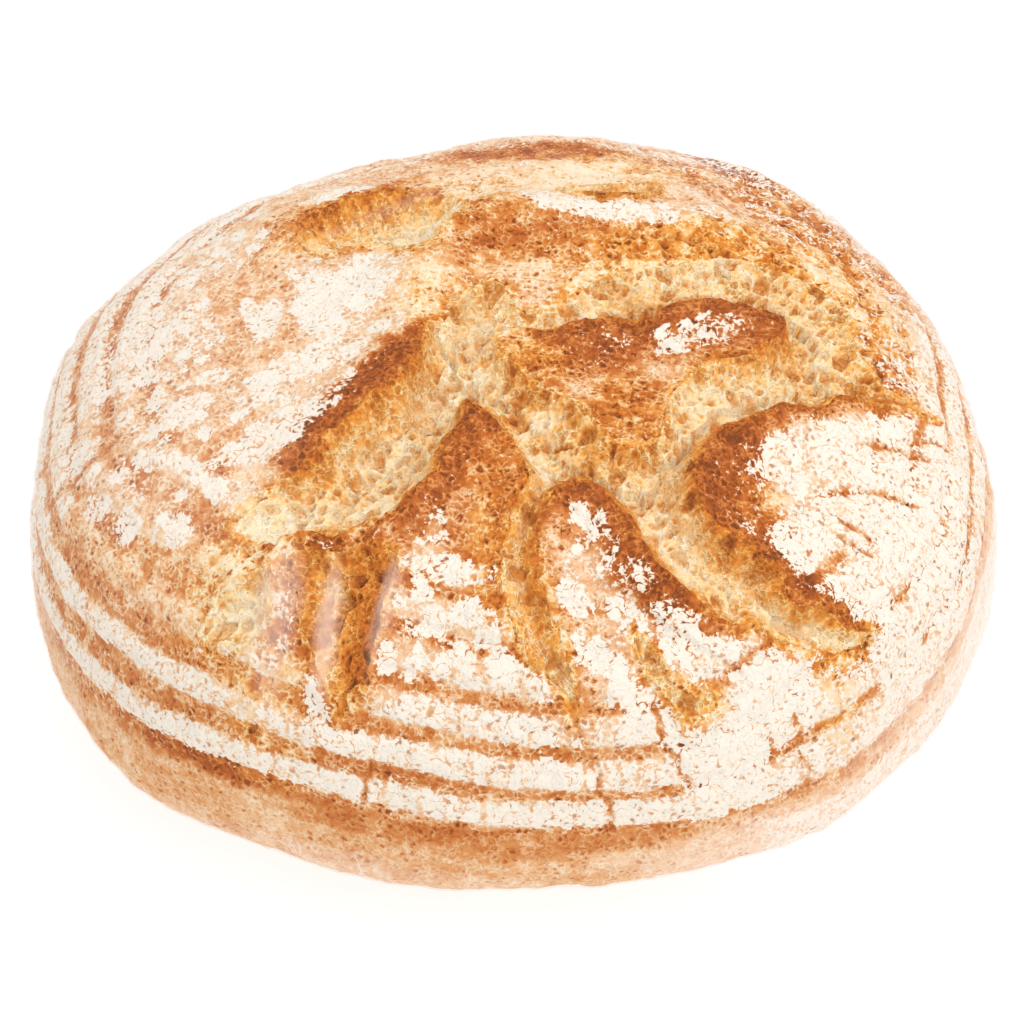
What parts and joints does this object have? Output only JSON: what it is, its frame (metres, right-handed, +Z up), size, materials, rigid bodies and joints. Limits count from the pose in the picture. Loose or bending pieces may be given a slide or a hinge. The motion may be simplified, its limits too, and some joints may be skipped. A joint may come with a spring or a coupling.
{
  "type": "sourdough loaf",
  "caption": "Round hearth loaf of sourdough in clear film: domed, ringed with flour by its proofing basket, torn open on top round a rough crumb.",
  "frame": {"origin": "middle of the loaf's extent, on its flat base", "axes": "+Z up through the dome, -Y towards the front, where the narrow tears run down, +X to the right of it"},
  "size_m": [0.2498, 0.238, 0.1077],
  "materials": {
    "crust": "baked bread crust, golden to dark brown, dusted with pale flour in rings and cracked patches, matt",
    "crumb": "open bread crumb, cream to golden, fibrous and full of pores, matt",
    "film": "thin clear shrink film, glossy, with fine creases"
  },
  "bodies": {
    "root": {"wrapped_loaf": "crust"}
  },
  "joints": []
}
